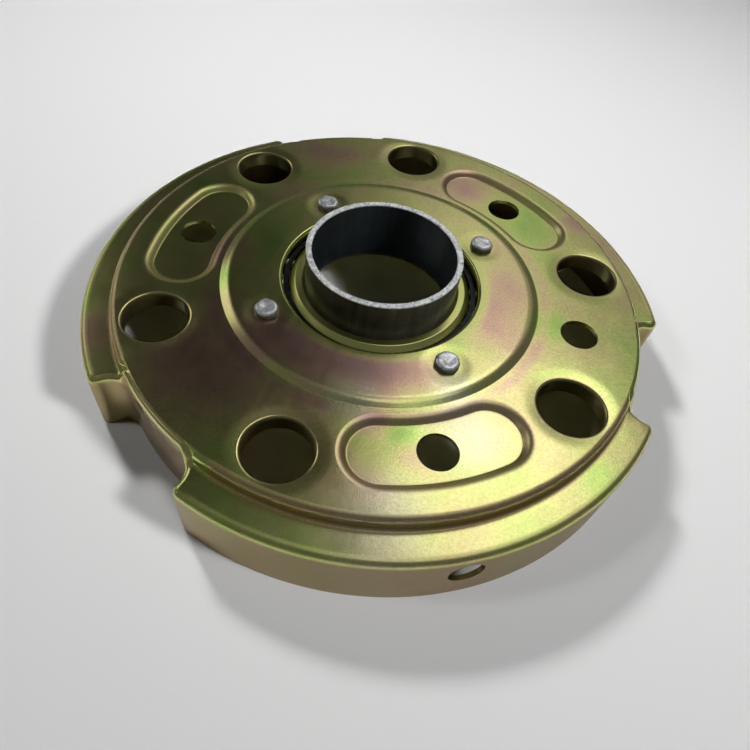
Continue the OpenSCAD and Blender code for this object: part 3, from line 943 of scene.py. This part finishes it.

# %% [markdown]
# The cage is thin dark sheet, near black with smears, and the balls are bright steel under a
# film of grease.

# %% Cage and balls
f = Finish("cage_near_black_sheet")
smear = f.noise(1.8, 3.0, 0.6)
f.bump((smear, 0.03))
colour = f.ramp(smear, [(0.30, (0.018, 0.019, 0.020)), (0.60, (0.040, 0.042, 0.042)),
                        (0.80, (0.085, 0.085, 0.078))])
dress(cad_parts["ball_cage"], f.finish(colour, f.spread(smear, 0.30, 0.55)))
f = Finish("ball_greased_steel")
smear = f.noise(1.3, 3.0, 0.6)
f.bump((smear, 0.012))
colour = f.ramp(smear, [(0.35, (0.30, 0.29, 0.25)), (0.55, (0.58, 0.58, 0.57)),
                        (0.75, (0.70, 0.70, 0.71))])
ball_mat = f.finish(colour, f.spread(smear, 0.12, 0.34))
for name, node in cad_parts.items():
    if name.startswith("ball_") and name != "ball_cage":
        dress(node, ball_mat)

# %% [markdown]
# The rivets kept no plating. Their heads are beaten bright in places and grey in others, and
# the wall of each head and all below it are painted dark, as painted shade under the rim.

# %% Rivet steel
f = Finish("rivet_beaten_steel", metallic=0.9)
facets = f.add("ShaderNodeTexVoronoi", feature="SMOOTH_F1")
f.put(facets.inputs["Vector"], f.vector("ADD", f.place, (0.3, 0.2, 0.1)))
facets.inputs["Scale"].default_value = 0.9
facets.inputs["Smoothness"].default_value = 0.6
mottle = f.noise(1.0, 3.0, 0.65)
colour = f.ramp(f.mixed(facets.outputs["Distance"], 0.5, mottle, 0.5),
                [(0.22, (0.98, 0.99, 0.99)), (0.45, (0.88, 0.90, 0.91)),
                 (0.70, (0.50, 0.51, 0.51))])
# Painted shade: the side of the head and everything below it are painted dark
head_side_shade = f.near(f.z, HEAD_TOP - 1.1, HEAD_TOP - 0.45)
colour = f.blend(f.times(head_side_shade, 0.75), colour, (0.14, 0.14, 0.125))
f.bump((facets.outputs["Distance"], 0.05), (mottle, 0.02))
rivet_mat = f.finish(colour, f.spread(mottle, 0.28, 0.5))
for rivet in rivets:
    dress(rivet, rivet_mat)

# %% [markdown]
# Camera from the photograph: its place was worked out from the circles and hole centres. The
# camera looks down from the front, and a small shift puts the wheel where the frame has it.

# %% Camera
PICTURE, FOCAL, SENSOR = 750, 609.252, 36.0
MIDDLE = (352.943, 374.298)
VIEW_TURN = 11.83


def swing(v):
    """From the camera's own frame to the wheel's, which is turned a little against it."""
    c, s = turn(VIEW_TURN)
    return (c * v[0] - s * v[1], s * v[0] + c * v[1], v[2])


cam_data = bpy.data.cameras.new("camera")
cam = bpy.data.objects.new("camera", cam_data)
bpy.context.scene.collection.objects.link(cam)
cam_data.sensor_width = SENSOR
cam_data.lens = FOCAL / PICTURE * SENSOR
cam_data.shift_x = (PICTURE / 2 - MIDDLE[0]) / PICTURE
cam_data.shift_y = (MIDDLE[1] - PICTURE / 2) / PICTURE
cam_data.clip_start, cam_data.clip_end = 0.01, 20.0
right = swing((0.99128, 0.10348, 0.08152))
up = swing((-0.13174, 0.77865, 0.61341))
back = tuple(-v for v in swing((0.0, 0.6188, -0.7855)))
place = tuple(v * MM for v in swing((-5.19, -157.54, 144.87)))
axes = [[right[i], up[i], back[i], place[i]] for i in range(3)]
cam.matrix_world = Matrix(axes + [[0, 0, 0, 1]])
bpy.context.scene.camera = cam

# %% [markdown]
# A round, plain, pale floor, a hair below the skirt. It is a real, matt surface, so it takes
# the wheel's shadow, and the skirt mirrors that shadow as it does in life.

# %% Floor
FLOOR_Z, FLOOR_R = RIM_FOOT - 0.05, 640
floor_net = Net()
floor_middle = 150 * turn(90 + VIEW_TURN)
floor_net.fill([circle_loop(floor_middle, FLOOR_R, 96, FLOOR_Z)], FLOOR_Z)
floor = floor_net.to_object("floor")
floor_mat = bpy.data.materials.new("floor_pale")
floor_mat.use_nodes = True
floor_shader = floor_mat.node_tree.nodes["Principled BSDF"]
floor_shader.inputs["Base Color"].default_value = (0.88, 0.88, 0.88, 1)
floor_shader.inputs["Roughness"].default_value = 0.9
floor_shader.inputs["Specular IOR Level"].default_value = 0.1
dress(floor, floor_mat)

# %% [markdown]
# Plated steel looks like what it mirrors. A wide soft lamp behind the wheel on the right gives
# the bright half, weaker ones overhead and at the left edge the bends there, and the rest of
# the room is dim, so the far and left sides stay dark. Three far lamps with narrow beams light
# only matt surfaces, and they stand where little of their light falls through the holes.

# %% Lamps
BEHIND = 0.2 * turn(90 + VIEW_TURN)


def direction(az, el):
    """Unit vector to this compass angle and height."""
    c, s = turn(el)
    return (c * turn(az)[0], c * turn(az)[1], s)


def lamp(name, az, el, dist, half_angle, radiance, mirrored=True, beam=180, aim=(0.0, 0.0)):
    """Round lamp: direction, distance, half its visible angle, brightness, beam and aim."""
    data = bpy.data.lights.new(name, "AREA")
    data.shape = "DISK"
    radius = dist * math.tan(math.radians(half_angle))
    data.size = 2 * radius
    data.energy = radiance * math.pi * math.pi * radius ** 2
    if beam < 180:
        # A grid before the lamp narrows its beam, and the same watts would shine brighter along it
        half_beam = math.radians(beam / 2)
        data.spread = 2 * half_beam
        data.energy *= (math.tan(half_beam) - half_beam) / math.tan(half_beam)
    obj = bpy.data.objects.new(name, data)
    d = Vector(direction(az, el))
    obj.location = d * dist + Vector((*aim, 0.0))
    obj.rotation_mode = "QUATERNION"
    obj.rotation_quaternion = d.to_track_quat("Z", "Y")
    obj.visible_glossy = mirrored
    obj.visible_diffuse = not mirrored
    bpy.context.scene.collection.objects.link(obj)
    print("lamp", name, "watts:", round(data.energy, 2))


lamp("window", 60.0 + VIEW_TURN, 58.0, 2.0, 11.6, 1.60)
lamp("overhead", 5 + VIEW_TURN, 75, 2.0, 13, 0.95)
lamp("left_low", 144 + VIEW_TURN, 31, 2.0, 13.8, 0.85)
lamp("left_side", 190 + VIEW_TURN, 30, 2.0, 8, 0.4)
lamp("floor_back", 144, 44, 2.5, 4.5, 130.0, mirrored=False, beam=30, aim=BEHIND)
lamp("floor_left", 204, 43, 2.5, 4.5, 34.0, mirrored=False, beam=32, aim=BEHIND)
lamp("floor_right", -9, 43, 2.5, 4.5, 125.0, mirrored=False, beam=32, aim=0.5 * BEHIND)

# %% [markdown]
# The room is dim, with a few soft glows round the lamps. Only the metal mirrors it; it doesn't
# light matt surfaces. Beyond the floor the camera itself sees plain white.

# %% Room
ROOM_LEVEL = 0.112
# Glows of the room: direction, inner and outer half angle, added brightness
GLOWS = [(78, 42.5, 1, 12, 0.56), (64, 37, 4, 24, 0.20), (88, 30, 2, 16, 0.10),
         (85, 76, 3, 20, 0.10), (100, 50, 12, 34, -0.085)]
world = bpy.data.worlds.new("studio")
bpy.context.scene.world = world
world.use_nodes = True
world.cycles_visibility.diffuse = False
sky = world.node_tree
coord = sky.nodes.new("ShaderNodeTexCoord")
brightness = ROOM_LEVEL
for az, el, inner_a, outer_a, added in GLOWS:
    towards = sky.nodes.new("ShaderNodeVectorMath")
    towards.operation = "DOT_PRODUCT"
    put(sky, towards.inputs[0], coord.outputs["Generated"])
    put(sky, towards.inputs[1], direction(az + VIEW_TURN, el))
    glow = sky.nodes.new("ShaderNodeMapRange")
    glow.interpolation_type = "SMOOTHSTEP"
    for key, value in (("Value", towards.outputs["Value"]), ("From Min", turn(outer_a)[0]),
                       ("From Max", turn(inner_a)[0]), ("To Max", added)):
        put(sky, glow.inputs[key], value)
    summed = sky.nodes.new("ShaderNodeMath")
    summed.operation = "ADD"
    put(sky, summed.inputs[0], glow.outputs[0])
    put(sky, summed.inputs[1], brightness)
    brightness = summed.outputs[0]
background = sky.nodes["Background"]
background.inputs["Color"].default_value = (1, 1, 1, 1)
seen = sky.nodes.new("ShaderNodeLightPath")
strength = sky.nodes.new("ShaderNodeMix")
put(sky, strength.inputs[0], seen.outputs["Is Camera Ray"])
put(sky, strength.inputs[2], brightness)
strength.inputs[3].default_value = 1.0
put(sky, background.inputs["Strength"], strength.outputs[0])
bpy.context.scene.view_settings.view_transform = "Standard"
